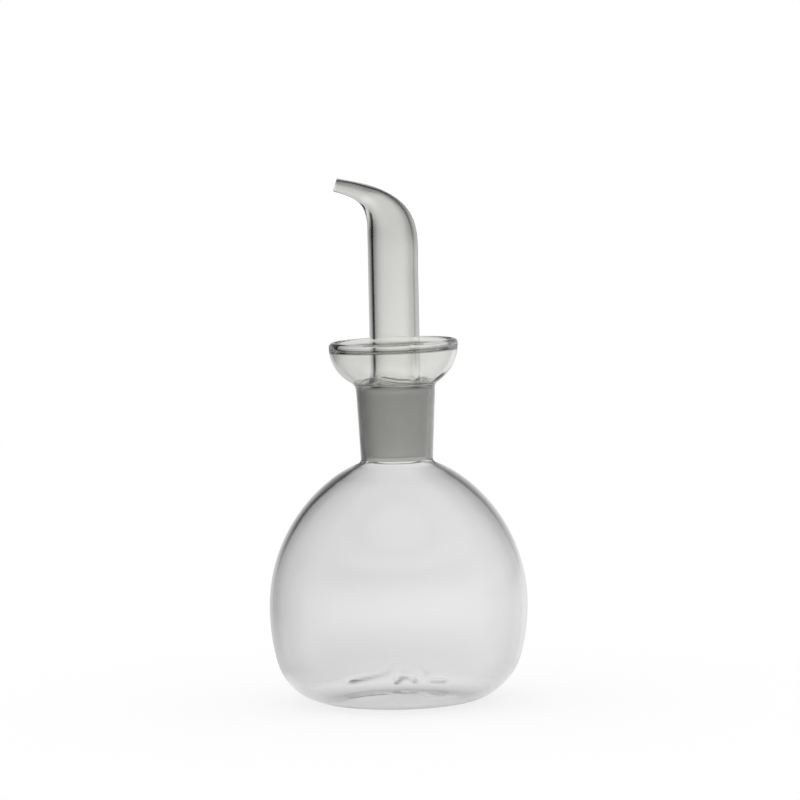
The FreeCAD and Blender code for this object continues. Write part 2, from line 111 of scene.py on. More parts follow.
def bulb_outside():
    """Outside half outline of the bulb, from the middle of the base up to the seam under the neck: the round
    push-up, the flat ring, the base corner, two side arcs, the shoulder and the fillet, each tangent to the
    next."""
    inner = RING_RADIUS - RING_WIDTH
    punt_radius = (inner ** 2 + PUNT_RISE ** 2) / (2 * PUNT_RISE)
    ring_foot = math.sqrt(PUNT_RISE * (2 * (punt_radius + RING_FILLET) - PUNT_RISE))
    punt_end = math.degrees(math.acos(ring_foot / (punt_radius + RING_FILLET)))
    whole = SIDE_TURN + SHOULDER_TURN
    neck = np.array([BORE_FOOT + NECK_WALL, NECK_FOOT])
    fillet_centre = toward(neck, NECK_FILLET, -TAPER)
    fillet_end = toward(fillet_centre, NECK_FILLET, 180 + whole)
    low, corner = two_arcs(BELLY_RADIUS - RING_RADIUS, BELLY_HEIGHT, LOWER_TURN, 90)
    side, shoulder = two_arcs(BELLY_RADIUS - fillet_end[0], fillet_end[1] - BELLY_HEIGHT, SIDE_TURN, whole)
    shoulder_centre = toward((BELLY_RADIUS - side, BELLY_HEIGHT), side - shoulder, SIDE_TURN)
    return end_to_end(
        arc((0, PUNT_RISE - punt_radius), punt_radius, 90, punt_end, step=0.8),
        arc((ring_foot, RING_FILLET), RING_FILLET, 180 + punt_end, 270, step=0.5),
        line((ring_foot, 0), (RING_RADIUS, 0), step=0.4),
        arc((RING_RADIUS, corner), corner, -90, -LOWER_TURN, step=1.0),
        arc((BELLY_RADIUS - low, BELLY_HEIGHT), low, -LOWER_TURN, 0, step=1.6),
        arc((BELLY_RADIUS - side, BELLY_HEIGHT), side, 0, SIDE_TURN, step=1.6),
        arc(shoulder_centre, shoulder, SIDE_TURN, whole, step=1.0),
        arc(fillet_centre, NECK_FILLET, 180 + whole, 180 - TAPER, step=0.35))


def cup_outline():
    """Half outline of the cup: the fillet off the neck, the bowl's arc up to the bead, the bead's circle and
    the bowl's lining back down to the rounded edge of the ground bore. The bowl is upright where it meets the
    bead."""
    bore = BORE_FOOT + (CUP_FOOT - NECK_FOOT) / TAPER_RUN
    fillet_centre = toward((bore + NECK_WALL, CUP_FOOT), CUP_FILLET, -TAPER)
    reach, climb = CUP_RADIUS - fillet_centre[0], BEAD_HEIGHT - fillet_centre[1]
    bowl = (reach ** 2 + climb ** 2 - CUP_FILLET ** 2) / (2 * (reach + CUP_FILLET))
    centre = np.array([CUP_RADIUS - bowl, BEAD_HEIGHT])
    slope = heading(fillet_centre - centre)
    lining = bowl - CUP_WALL
    gap = bowl - BEAD_RADIUS
    lining_end = -math.degrees(math.acos((lining ** 2 + gap ** 2 - BEAD_RADIUS ** 2) / (2 * lining * gap)))
    bead_centre = np.array([CUP_RADIUS - BEAD_RADIUS, BEAD_HEIGHT])
    bead_end = heading(toward(centre, lining, lining_end) - bead_centre) % 360
    edge_x = bore + THROAT_FLARE + THROAT_ROUNDING
    throat_turn = -math.degrees(math.acos((edge_x - centre[0]) / (lining - THROAT_ROUNDING)))
    edge_centre = (edge_x, toward(centre, lining + THROAT_ROUNDING, throat_turn)[1])
    return end_to_end(
        arc(fillet_centre, CUP_FILLET, 180 - TAPER, 180 + slope, step=0.35),
        arc(centre, bowl, slope, 0, step=0.7),
        arc(bead_centre, BEAD_RADIUS, 0, bead_end, step=0.3),
        arc(centre, lining, lining_end, throat_turn, step=0.7),
        arc(edge_centre, THROAT_ROUNDING, 180 + throat_turn, 180, step=0.15))


def soft_steps(along, stations, values, reach):
    """Values set at stations along a line, joined by straight runs and then averaged over a reach."""
    samples = 21
    spread = np.linspace(-reach, reach, samples)
    weight = np.hanning(samples + 2)[1:-1]
    return (np.interp(along[:, None] + spread, stations, values) * weight).sum(axis=1) / weight.sum()


def walled_in(outline, wall):
    """The outline moved to its left-hand side, which is the inside, by the wall's thickness at each point."""
    run = np.gradient(outline, axis=0)
    run /= np.hypot(run[:, 0], run[:, 1])[:, None]
    moved = outline + np.stack([-run[:, 1], run[:, 0]], axis=1) * wall[:, None]
    moved[0, 0] = 0.0
    return moved


def skin(name, grid, row_finish, finishes, closed_loop):
    """A closed skin from rings of points, rows by points around. Neighbouring rings are joined by four-sided
    faces, row_finish gives each band its place in the list of finishes, and the rows either meet end to start
    or close on a pole at each end."""
    rows, around = grid.shape[:2]
    index = np.arange(rows * around).reshape(rows, around)
    if closed_loop:
        index = np.concatenate([index, index[:1]])
    here, there = index[:-1], index[1:]
    quads = np.stack([here, np.roll(here, -1, 1), np.roll(there, -1, 1), there], axis=-1).reshape(-1, 4)
    corners = [quads.ravel()]
    sizes = [np.full(len(quads), 4)]
    finish = [np.repeat(row_finish, around)]
    points = [grid.reshape(-1, 3)]
    if not closed_loop:
        first, last = rows * around, rows * around + 1
        points.append(np.stack([grid[0].mean(axis=0), grid[-1].mean(axis=0)]))
        low = np.stack([np.full(around, first), np.roll(index[0], -1), index[0]], axis=1)
        high = np.stack([index[-1], np.roll(index[-1], -1), np.full(around, last)], axis=1)
        corners += [low.ravel(), high.ravel()]
        sizes += [np.full(2 * around, 3)]
        finish += [np.full(around, row_finish[0]), np.full(around, row_finish[-1])]
    points, corners = np.concatenate(points), np.concatenate(corners)
    sizes, finish = np.concatenate(sizes), np.concatenate(finish)
    starts = np.concatenate([[0], np.cumsum(sizes)[:-1]])

    mesh = bpy.data.meshes.new(name)
    mesh.vertices.add(len(points))
    mesh.vertices.foreach_set("co", (points * MM).ravel())
    mesh.loops.add(len(corners))
    mesh.loops.foreach_set("vertex_index", corners.astype(np.int32))
    mesh.polygons.add(len(sizes))
    mesh.polygons.foreach_set("loop_start", starts.astype(np.int32))
    for material in finishes:
        mesh.materials.append(material)
    mesh.polygons.foreach_set("material_index", finish.astype(np.int32))
    mesh.polygons.foreach_set("use_smooth", np.ones(len(sizes), bool))
    mesh.update(calc_edges=True)
    mesh.validate()
    piece = bpy.data.objects.new(name, mesh)
    bpy.context.collection.objects.link(piece)
    return piece


GLASS_INDEX = 1.473
CLOUD_DETAIL = 2.0
FROST_FOOT = 100.6
FROST_TOP = 132.6
# Painted shade: the ground faces' colour runs from the foot's shade to a darker one at their top.
FROST_FOOT_PAINTED_SHADE = (1.0, 1.0, 0.975)
FROST_TOP_PAINTED_SHADE = (0.86, 0.86, 0.83)
FROST_CLEARNESS = 0.75


def clouds(tree, stretch):
    """Soft random shades in the piece's own space, so many to the metre along each of its axes."""
    spot = tree.nodes.new("ShaderNodeTexCoord")
    scale = tree.nodes.new("ShaderNodeMapping")
    scale.inputs["Scale"].default_value = stretch
    tree.links.new(spot.outputs["Object"], scale.inputs["Vector"])
    noise = tree.nodes.new("ShaderNodeTexNoise")
    noise.inputs["Scale"].default_value = 1.0
    noise.inputs["Detail"].default_value = CLOUD_DETAIL
    tree.links.new(scale.outputs["Vector"], noise.inputs["Vector"])
    return noise.outputs["Fac"]


def glass(name, colour, stretch, depth, roughness):
    """Borosilicate glass, clear right through. Soft clouds give its surface a relief of the given depth, in
    metres, and a roughness between two limits."""
    material = bpy.data.materials.new(name)
    material.use_nodes = True
    tree = material.node_tree
    shader = tree.nodes["Principled BSDF"]
    shader.inputs["Base Color"].default_value = (*colour, 1.0)
    shader.inputs["IOR"].default_value = GLASS_INDEX
    shader.inputs["Transmission Weight"].default_value = 1.0
    shade = clouds(tree, stretch)
    span = tree.nodes.new("ShaderNodeMapRange")
    span.inputs["To Min"].default_value, span.inputs["To Max"].default_value = roughness
    tree.links.new(shade, span.inputs["Value"])
    tree.links.new(span.outputs["Result"], shader.inputs["Roughness"])
    relief = tree.nodes.new("ShaderNodeBump")
    relief.inputs["Distance"].default_value = depth
    tree.links.new(shade, relief.inputs["Height"])
    tree.links.new(relief.outputs["Normal"], shader.inputs["Normal"])
    return material


# Blown glass is smooth, the tooled base a little dull, the tube faintly green, the ground faces matt, with a
# painted shade that darkens them towards their top.
clear_glass = glass("clear_glass", (1.0, 1.0, 1.0), (55, 55, 25), depth=0.00006, roughness=(0.0, 0.012))
floor_glass = glass("floor_glass", (1.0, 1.0, 1.0), (55, 55, 25), depth=0.00006, roughness=(0.05, 0.1))
tube_glass = glass("tube_glass", (0.985, 0.99, 0.97), (90, 90, 18), depth=0.00003, roughness=(0.0, 0.012))
ground_glass = glass("ground_glass", FROST_TOP_PAINTED_SHADE, (500, 500, 3000), depth=0.00003, roughness=(0.33, 0.48))
frost = ground_glass.node_tree
frost_shader = frost.nodes["Principled BSDF"]
frost_shader.inputs["Transmission Weight"].default_value = FROST_CLEARNESS
# Painted shade on the ground faces: their colour darkens by height from the foot of the frost to its top.
frost_spot = frost.nodes.new("ShaderNodeTexCoord")
frost_height = frost.nodes.new("ShaderNodeSeparateXYZ")
frost.links.new(frost_spot.outputs["Object"], frost_height.inputs["Vector"])
frost_span = frost.nodes.new("ShaderNodeMapRange")
frost_span.inputs["From Min"].default_value = FROST_FOOT * MM
frost_span.inputs["From Max"].default_value = FROST_TOP * MM
frost.links.new(frost_height.outputs["Z"], frost_span.inputs["Value"])
frost_painted_shade = frost.nodes.new("ShaderNodeValToRGB")
frost.links.new(frost_span.outputs["Result"], frost_painted_shade.inputs["Fac"])
frost_painted_shade.color_ramp.elements[0].color = (*FROST_FOOT_PAINTED_SHADE, 1.0)
frost_painted_shade.color_ramp.elements[1].color = (*FROST_TOP_PAINTED_SHADE, 1.0)
frost.links.new(frost_painted_shade.outputs["Color"], frost_shader.inputs["Base Color"])

# The faults of hand work. A tool mark has the centre (x, y) and radius of the circle it follows, the
# direction of its middle, half of its span, its height and its half width. A ripple has a height, a count
# round the ring and a start in radians. A band has the heights where a fault starts, is full, fades and ends.
BULB_LEAN = 0.008
BULB_LEVEL = 0.014
LEVEL_FOOT = (0.3, 6.0)
LEVEL_TOP = 60
CUP_SHIFT = -0.6
CUP_SHIFT_RISE = (CUP_FOOT - 2, CUP_FOOT + 6)
CUP_TILT = 0.02
CUP_TILT_RISE = (CUP_FOOT + 4, BEAD_HEIGHT)
TOOL_MARKS = ((4.2, 35.0, 8.0, 90, 75, 1.2, 1.0), (2.5, 36.0, 4.0, 90, 110, 1.6, 1.0),
              (15.1, -14.3, 60.0, 119, 11, 1.5, 1.0), (0, 0, 38.0, 65, 8, 0.8, 1.0))
MARK_HOLD = 0.6
THROAT_RIPPLES = ((0.15, 3, 0.8), (0.1, 7, 2.0), (0.05, 13, 0.0))
THROAT_BAND = (132.9, 134.6, 136.5, 141)


def smooth(value, low, high):
    """A soft step from 0 to 1 between two limits: three squares less two cubes."""
    share = np.clip((value - low) / (high - low), 0.0, 1.0)
    return share * share * (3 - 2 * share)


def band(value, start, full, fading, end):
    """A soft step up from start to full, times a soft step down from fading to end."""
    return smooth(value, start, full) * (1 - smooth(value, fading, end))


def ripples(turn, terms):
    """Ripples round a ring: the sum of each height times the sine of its count of turns plus its start."""
    return sum(height * np.sin(count * turn + start) for height, count, start in terms)


def by_hand(grid):
    """The bulb's uneven shape: it leans to the left under the neck and, above its foot, rises towards the
    right; the cup sits a little to the left of the axis and is higher at its right."""
    x, y, z = np.moveaxis(grid, -1, 0)
    level = smooth(z, *LEVEL_FOOT) * np.clip((LEVEL_TOP - z) / LEVEL_TOP, 0, 1)
    lean = BULB_LEAN * np.minimum(z - NECK_FOOT, 0) + CUP_SHIFT * smooth(z, *CUP_SHIFT_RISE)
    tilt = CUP_TILT * x * smooth(z, *CUP_TILT_RISE)
    return np.stack([x + lean, y, z + BULB_LEVEL * x * level + tilt], axis=-1)


def tool_marks(x, y):
    """Low ridges that the tools left on the base's floor: each lies along part of a circle, its height falls
    off as a bell curve to both sides of the line and it runs out softly at its ends."""
    marks = np.zeros_like(x)
    for middle_x, middle_y, circle, middle, half_span, rise, width in TOOL_MARKS:
        off = np.hypot(x - middle_x, y - middle_y) - circle
        turn = np.arctan2(y - middle_y, x - middle_x) - math.radians(middle)
        turn = np.abs((turn + math.pi) % (2 * math.pi) - math.pi)
        end = math.radians(half_span)
        marks += rise * np.exp(-(off / width) ** 2) * (1 - smooth(turn, MARK_HOLD * end, end))
    return marks


FLASK_AROUND = 220
WALL_BLEND = 8.0
FLOOR_TOP = 20
FLOOR_REACH = 34
EDGE_ROOM = 0.01
outside = bulb_outside()
length = np.concatenate([[0], np.cumsum(np.hypot(*np.diff(outside, axis=0).T))])
wall_stations = [0, 40, 55, 80, 105, 130, 150, length[-1] - 3, length[-1]]
wall_sizes = [0.7, 0.75, 1.2, 1.6, 1.9, 2.4, 2.6, 2.3, NECK_WALL]
inside = walled_in(outside, soft_steps(length, wall_stations, wall_sizes, WALL_BLEND))
inside[-1] = (BORE_FOOT, NECK_FOOT)
cup = cup_outline()
neck_outside = line(outside[-1], cup[0], step=1.5)
frost_edge = (BORE_FOOT + (FROST_TOP - NECK_FOOT) / TAPER_RUN, FROST_TOP)
neck_inside = end_to_end(line(cup[-1], frost_edge, step=0.5), line(frost_edge, inside[-1], step=1.5))
profile = end_to_end(outside[1:], neck_outside, cup, neck_inside, inside[::-1][:-1])
row_radius, row_height = profile.T
lining = np.arange(len(profile)) > np.argmax(row_height)
in_frost = lining & (row_height > FROST_FOOT) & (row_height < FROST_TOP + EDGE_ROOM)
in_cup = (row_height > CUP_FOOT) & ~in_frost
in_floor = lining & (row_height < FLOOR_TOP)
on_floor = in_floor & (row_radius < FLOOR_REACH)
flask_finishes = [clear_glass, ground_glass, tube_glass, floor_glass]
flask_finish = np.select([in_frost[:-1] & in_frost[1:], in_cup[:-1] & in_cup[1:], on_floor[1:]], [1, 2, 3], 0)

theta = np.arange(FLASK_AROUND) * (2 * math.pi / FLASK_AROUND)
radius, height = row_radius[:, None], row_height[:, None]
flask_grid = np.stack([radius * np.cos(theta), radius * np.sin(theta), height + 0 * theta], axis=-1)
flask_grid[..., 2] += tool_marks(flask_grid[..., 0], flask_grid[..., 1]) * in_floor[:, None]
flask_grid[..., 2] += ripples(theta, THROAT_RIPPLES) * (band(row_height, *THROAT_BAND) * lining)[:, None]
flask = skin("flask_glass", by_hand(flask_grid), flask_finish, flask_finishes, False)
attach(flask, "flask")
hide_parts("flask_base", "flask_belly", "flask_dome", "neck_socket", "drip_cup")

# The pourer: one piece of glass tube. Its lower end is a hollow plug, ground matt outside to fit the neck,
# with a groove for air and drips; above its drawn-in shoulder the tube is bent over and pulled to a fine open
# tip, and the bend's wall is thinner on its outside.
LIP_FOOT = 99.6
LIP_OUTSIDE = 12.02
GROUND_FOOT = 103.1
GROUND_MARGIN = 0.05
STEP_ROUNDING = 0.5
PLUG_ROUNDING = 0.3
PLUG_FOOT = 13.02
PLUG_TOP = 14.33
PLUG_WALL = 2.0
PLUG_FROST_TOP = 129.5
SHOULDER_FOOT = 129.4
SHOULDER_TOP = 135.0
SHOULDER_ROWS = 22
SHOULDER_RIPPLES = ((0.5, 2, 1.0), (0.3, 3, 0.4))
SHOULDER_BAND = (129, 134, 135, 141)
TUBE_RADIUS = 10.4
TUBE_WALL = 2.2
STRAIGHT_TOP = 193.3
STRAIGHT_BACKS = (20, 10, 0)
LEVEL_ROWS_TOP = STRAIGHT_TOP - 20.5
OUTER_BEND = 20.9
INNER_BEND = 24.6
BEND_LAG = 4.9
BEND_TURN = 36.7
BEND_WALL = 1.8
BEND_RINGS = 6
FLOW_REACH = 4.5
BORE_SHIFT = 0.5
BORE_SHIFT_TILTS = (0.0, 0.6, 0.7, 1.2)
TIP = (-23.0, 215.9)
TIP_TURN = 72.5
TIP_RUN = 10.0
DRAWN_RADIUS = 3.75
TIP_RADIUS = 2.85
TIP_WALL = 1.0
TIP_ROWS = 12
GROOVE_WIDTH = 3.0
GROOVE_DEPTH = 1.0
GROOVE_SIDE = (GROOVE_WIDTH / 2 - 0.3, GROOVE_WIDTH / 2 + 0.1)
POURER_AROUND = 180
POURER_BUNCHING = 0.3


def through(knots, values, wanted):
    """A smooth curve through values at knots: cubic runs whose slopes and bends agree where they meet, and
    which end without bending; worked out for every column of values at the wanted places."""
    step = np.diff(knots)
    count = len(knots)
    system = np.eye(count)
    right = np.zeros_like(values)
    middle = np.arange(1, count - 1)
    system[middle, middle - 1] = step[:-1]
    system[middle, middle] = 2 * (step[:-1] + step[1:])
    system[middle, middle + 1] = step[1:]
    slope = np.diff(values, axis=0) / step[:, None]
    right[1:-1] = 6 * np.diff(slope, axis=0)
    bend = np.linalg.solve(system, right)
    spot = np.clip(np.searchsorted(knots, wanted) - 1, 0, count - 2)
    past = (wanted - knots[spot])[:, None]
    left = (knots[spot + 1] - wanted)[:, None]
    span = step[spot][:, None]
    return ((bend[spot] * left ** 3 + bend[spot + 1] * past ** 3) / (6 * span)
            + (values[spot] / span - bend[spot] * span / 6) * left
            + (values[spot + 1] / span - bend[spot + 1] * span / 6) * past)


def spout_sections(step):
    """Rings along the drawn part of the spout, one row each of centre x, centre z, tilt, radius and wall.

    In the plane of the bend the spout lies between two edges, each upright and then an arc. A ring tilted by
    an angle touches the outer arc at that angle plus a spread and the inner arc at the angle less the spread.
    The row of rings is then averaged over a short reach, as hot glass flows."""
    first = math.degrees(math.atan(BEND_LAG / (2 * (OUTER_BEND - TUBE_RADIUS))))
    tilt = np.radians(np.linspace(first, BEND_TURN, BEND_RINGS))
    across = 2 * TUBE_RADIUS - OUTER_BEND + INNER_BEND
    spread = np.arcsin((across * np.sin(tilt) + BEND_LAG * np.cos(tilt)) / (OUTER_BEND + INNER_BEND))
    outer_x = TUBE_RADIUS - OUTER_BEND * (1 - np.cos(tilt + spread))
    outer_z = OUTER_BEND * np.sin(tilt + spread)
    inner_x = -TUBE_RADIUS - INNER_BEND * (1 - np.cos(tilt - spread))
    inner_z = BEND_LAG + INNER_BEND * np.sin(tilt - spread)
    wide = across * np.cos(tilt) - BEND_LAG * np.sin(tilt) + (OUTER_BEND - INNER_BEND) * np.cos(spread)
    bent = np.stack([(outer_x + inner_x) / 2, STRAIGHT_TOP + (outer_z + inner_z) / 2, tilt, wide / 2,
                     np.linspace(TUBE_WALL, BEND_WALL, BEND_RINGS)], axis=1)
    turn = math.radians(TIP_TURN)
    drawn_x, drawn_z = TIP[0] + TIP_RUN * math.sin(turn), TIP[1] - TIP_RUN * math.cos(turn)
    drawn = [drawn_x, drawn_z, turn, DRAWN_RADIUS, TIP_WALL]
    tip = [TIP[0], TIP[1], turn, TIP_RADIUS, TIP_WALL]
    straight = [[0, STRAIGHT_TOP - back, 0, TUBE_RADIUS, TUBE_WALL] for back in STRAIGHT_BACKS]
    rings = np.array([*straight, *bent, drawn, tip])
    along = np.concatenate([[0], np.cumsum(np.hypot(*np.diff(rings[:, :2], axis=0).T))])
    run = through(along, rings, np.linspace(0, along[-1], int(along[-1] / step)))
    reach = int(FLOW_REACH / step)
    weight = np.hanning(2 * reach + 3)[1:-1]
    longer = np.pad(run, ((reach, reach), (0, 0)), mode="reflect", reflect_type="odd")
    return np.lib.stride_tricks.sliding_window_view(longer, 2 * reach + 1, axis=0) @ (weight / weight.sum())


def upright(outline):
    """Rings that stand level on the axis, from an outline of radius and height."""
    flat = np.zeros(len(outline))
    return np.stack([flat, outline[:, 1], flat, outline[:, 0]], axis=1)


def plug_shoulder(low_radius, high_radius):
    """A soft step that draws a plug in to the tube between two heights."""
    height = np.linspace(SHOULDER_FOOT, SHOULDER_TOP, SHOULDER_ROWS)
    radius = low_radius + (high_radius - low_radius) * smooth(height, SHOULDER_FOOT, SHOULDER_TOP)
    return np.stack([radius, height], axis=1)


sections = spout_sections(step=0.38)
bore = TUBE_RADIUS - TUBE_WALL
plug_bore_foot, plug_bore_top = PLUG_FOOT - PLUG_WALL, PLUG_TOP - PLUG_WALL
lip_edge = (LIP_OUTSIDE - plug_bore_foot) / 2
lip_centre = (LIP_OUTSIDE - lip_edge, LIP_FOOT + lip_edge)
step_foot = GROUND_FOOT - STEP_ROUNDING
plug_edge_top = GROUND_FOOT + PLUG_ROUNDING
outer_low = end_to_end(
    arc(lip_centre, lip_edge, -90, 0, step=0.12),
    line((LIP_OUTSIDE, lip_centre[1]), (LIP_OUTSIDE, step_foot), step=0.6),
    arc((LIP_OUTSIDE + STEP_ROUNDING, step_foot), STEP_ROUNDING, 180, 90, step=0.15),
    arc((PLUG_FOOT - PLUG_ROUNDING, plug_edge_top), PLUG_ROUNDING, -90, 0, step=0.15),
    line((PLUG_FOOT, plug_edge_top), (PLUG_TOP, SHOULDER_FOOT), step=1.2),
    plug_shoulder(PLUG_TOP, TUBE_RADIUS),
    line((TUBE_RADIUS, SHOULDER_TOP), (TUBE_RADIUS, LEVEL_ROWS_TOP), step=1.5))
inner_low = end_to_end(
    line((bore, LEVEL_ROWS_TOP), (bore, SHOULDER_TOP), step=1.5),
    plug_shoulder(plug_bore_top, bore)[::-1],
    line((plug_bore_top, SHOULDER_FOOT), (plug_bore_foot, GROUND_FOOT), step=1.5),
    line((plug_bore_foot, GROUND_FOOT), (plug_bore_foot, lip_centre[1]), step=0.8),
    arc(lip_centre, lip_edge, 180, 270, step=0.12)[:-1])
tip_edge = TIP_WALL / 2
tip_turn = math.radians(TIP_TURN)
rim_turn = np.radians(np.linspace(0, 180, TIP_ROWS)[1:-1])
rim = np.stack([TIP[0] - tip_edge * np.sin(rim_turn) * math.sin(tip_turn),
                TIP[1] + tip_edge * np.sin(rim_turn) * math.cos(tip_turn),
                np.full(len(rim_turn), tip_turn),
                TIP_RADIUS - tip_edge + tip_edge * np.cos(rim_turn)], axis=1)
section_x, section_z, section_tilt, section_radius, section_wall = sections.T
bore_shift = BORE_SHIFT * band(section_tilt, *BORE_SHIFT_TILTS)
bore_rings = np.stack([section_x + bore_shift * np.cos(section_tilt),
                       section_z + bore_shift * np.sin(section_tilt),
                       section_tilt, section_radius - section_wall], axis=1)[::-1]
rings = np.concatenate([upright(outer_low), sections[:, :4], rim, bore_rings, upright(inner_low)])
turn = np.arange(POURER_AROUND) * (2 * math.pi / POURER_AROUND)
theta = turn - POURER_BUNCHING * np.sin(turn)
middle_x, middle_z, tilt, ring_radius = (column[:, None] for column in rings.T)
groove_floor = PLUG_FOOT - GROOVE_DEPTH + (middle_z - GROUND_FOOT) / TAPER_RUN
groove_depth = np.maximum(ring_radius - groove_floor, 0) * (np.arange(len(rings)) < len(outer_low))[:, None]
groove_side = np.abs((theta + math.pi) % (2 * math.pi) - math.pi) * PLUG_FOOT
ring_radius = ring_radius - groove_depth * (1 - smooth(groove_side, *GROOVE_SIDE))
out = ring_radius * np.cos(theta)
wave = ripples(theta, SHOULDER_RIPPLES) * band(middle_z, *SHOULDER_BAND)
pourer_grid = np.stack([middle_x + out * np.cos(tilt), ring_radius * np.sin(theta) + 0 * tilt,
                        middle_z + out * np.sin(tilt) + wave], axis=-1)
ground_row = np.zeros(len(rings), bool)
ground_row[:len(outer_low)] = (outer_low[:, 1] >= GROUND_FOOT) & (outer_low[:, 1] < PLUG_FROST_TOP)
ground_row[:len(outer_low)] &= outer_low[:, 0] > PLUG_FOOT - GROUND_MARGIN
pourer = skin("pourer_glass", pourer_grid, (ground_row & np.roll(ground_row, -1)).astype(int),
              [tube_glass, ground_glass], True)
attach(pourer, "pourer")
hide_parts("ground_plug", "plug_end", "spout_tube")

# The floor: a plain pale paper under the cruet. The camera sees it white with the cruet's soft shadow on it.
# The glass sees a painted contact shadow on it near the foot, and farther out looks through it at the
# studio's pale sweep. Its own sizes are in metres; its painted shadow goes by distance from the middle, in
# mm.
FLOOR_RADIUS = 1.3
FLOOR_DROP = 0.0002
FLOOR_RINGS = 23
FLOOR_SIDES = 96
PAPER_SHADE = 0.18
# Painted contact shadow: how bright the glass sees the floor, by the distance from the middle in mm.
CONTACT_PAINTED_SHADE = ((0, 0.85), (18, 0.85), (23, 0.7), (26, 0.5), (31, 0.5), (36, 0.72), (50, 0.82), (65, 0.88),
           (80, 0.9))
PAINTED_SHADE_COVER = ((0, 1), (50, 1), (60, 1), (75, 0), (80, 0))


def reckon(tree, operation, *terms):
    """One step of arithmetic on values in a material."""
    node = tree.nodes.new("ShaderNodeMath")
    node.operation = operation
    for socket, term in zip(node.inputs, terms):
        if isinstance(term, (int, float)):
            socket.default_value = term
        else:
            tree.links.new(term, socket)
    return node.outputs["Value"]


def shades(tree, value, stops, unit):
    """Shades of grey by a value: stops in the given unit, with a smooth change from one to the next."""
    first, last = stops[0][0], stops[-1][0]
    span = tree.nodes.new("ShaderNodeMapRange")
    tree.links.new(value, span.inputs["Value"])
    span.inputs["From Min"].default_value = first * unit
    span.inputs["From Max"].default_value = last * unit
    strip = tree.nodes.new("ShaderNodeValToRGB")
    tree.links.new(span.outputs["Result"], strip.inputs["Fac"])
    strip.color_ramp.interpolation = "B_SPLINE"
    marks = strip.color_ramp.elements
    for place, _ in stops[1:-1]:
        marks.new((place - first) / (last - first))
    for mark, (_, grey) in zip(marks, stops):
        mark.color = (grey, grey, grey, 1.0)
    return strip.outputs["Color"]


def seen_by_glass(tree):
    """1 for what the glass mirrors or lets through, 0 for what the camera sees directly."""
    path = tree.nodes.new("ShaderNodeLightPath")
    return reckon(tree, "MAXIMUM", path.outputs["Is Glossy Ray"], path.outputs["Is Transmission Ray"])


def blend(tree, share, first, second):
    """A mix of two finishes: the first where the share is 0, the second where it is 1."""
    mixed = tree.nodes.new("ShaderNodeMixShader")
    tree.links.new(share, mixed.inputs["Fac"])
    tree.links.new(first, mixed.inputs[1])
    tree.links.new(second, mixed.inputs[2])
    return mixed.outputs["Shader"]


def bare_material(piece, name):
    """A new material on a piece, with nothing in it yet."""
    material = bpy.data.materials.new(name)
    material.use_nodes = True
    material.node_tree.nodes.clear()
    piece.data.materials.append(material)
    return material


def plain_piece(name, grid, faces):
    """A piece of plain faces, from a grid of points in metres and each face's corners."""
    mesh = bpy.data.meshes.new(name)
    mesh.from_pydata(grid.reshape(-1, 3).tolist(), [], faces)
    piece = bpy.data.objects.new(name, mesh)
    bpy.context.collection.objects.link(piece)
    return piece


floor_ring = np.linspace(0.0, FLOOR_RADIUS, FLOOR_RINGS + 1)[1:, None]
floor_turn = np.arange(FLOOR_SIDES) * (2 * math.pi / FLOOR_SIDES)
floor_grid = np.stack([floor_ring * np.cos(floor_turn), floor_ring * np.sin(floor_turn),
                       np.full((FLOOR_RINGS, FLOOR_SIDES), -FLOOR_DROP)], axis=-1)
floor_index = np.arange(FLOOR_RINGS * FLOOR_SIDES).reshape(FLOOR_RINGS, FLOOR_SIDES)
floor_faces = np.stack([floor_index[:-1], floor_index[1:], np.roll(floor_index[1:], -1, 1),
                        np.roll(floor_index[:-1], -1, 1)], axis=-1).reshape(-1, 4)
floor = plain_piece("floor", floor_grid, [floor_index[0].tolist(), *floor_faces.tolist()])
tree = bare_material(floor, "paper_floor").node_tree
matt = tree.nodes.new("ShaderNodeBsdfDiffuse")
matt.inputs["Color"].default_value = (PAPER_SHADE, PAPER_SHADE, PAPER_SHADE, 1.0)
glow = tree.nodes.new("ShaderNodeEmission")
glow.inputs["Strength"].default_value = 1.0 - PAPER_SHADE
white = tree.nodes.new("ShaderNodeAddShader")
tree.links.new(matt.outputs["BSDF"], white.inputs[0])
tree.links.new(glow.outputs["Emission"], white.inputs[1])
spot = tree.nodes.new("ShaderNodeTexCoord")
distance = tree.nodes.new("ShaderNodeVectorMath")
distance.operation = "LENGTH"
tree.links.new(spot.outputs["Object"], distance.inputs[0])
# Painted contact shadow: for the glass, the floor glows darker in a ring round the foot.
contact_painted_shade = tree.nodes.new("ShaderNodeEmission")
tree.links.new(shades(tree, distance.outputs["Value"], CONTACT_PAINTED_SHADE, MM), contact_painted_shade.inputs["Strength"])
cover = shades(tree, distance.outputs["Value"], PAINTED_SHADE_COVER, MM)
clear = tree.nodes.new("ShaderNodeBsdfTransparent")
beneath = blend(tree, cover, clear.outputs["BSDF"], contact_painted_shade.outputs["Emission"])
output = tree.nodes.new("ShaderNodeOutputMaterial")
tree.links.new(blend(tree, seen_by_glass(tree), white.outputs["Shader"], beneath), output.inputs["Surface"])

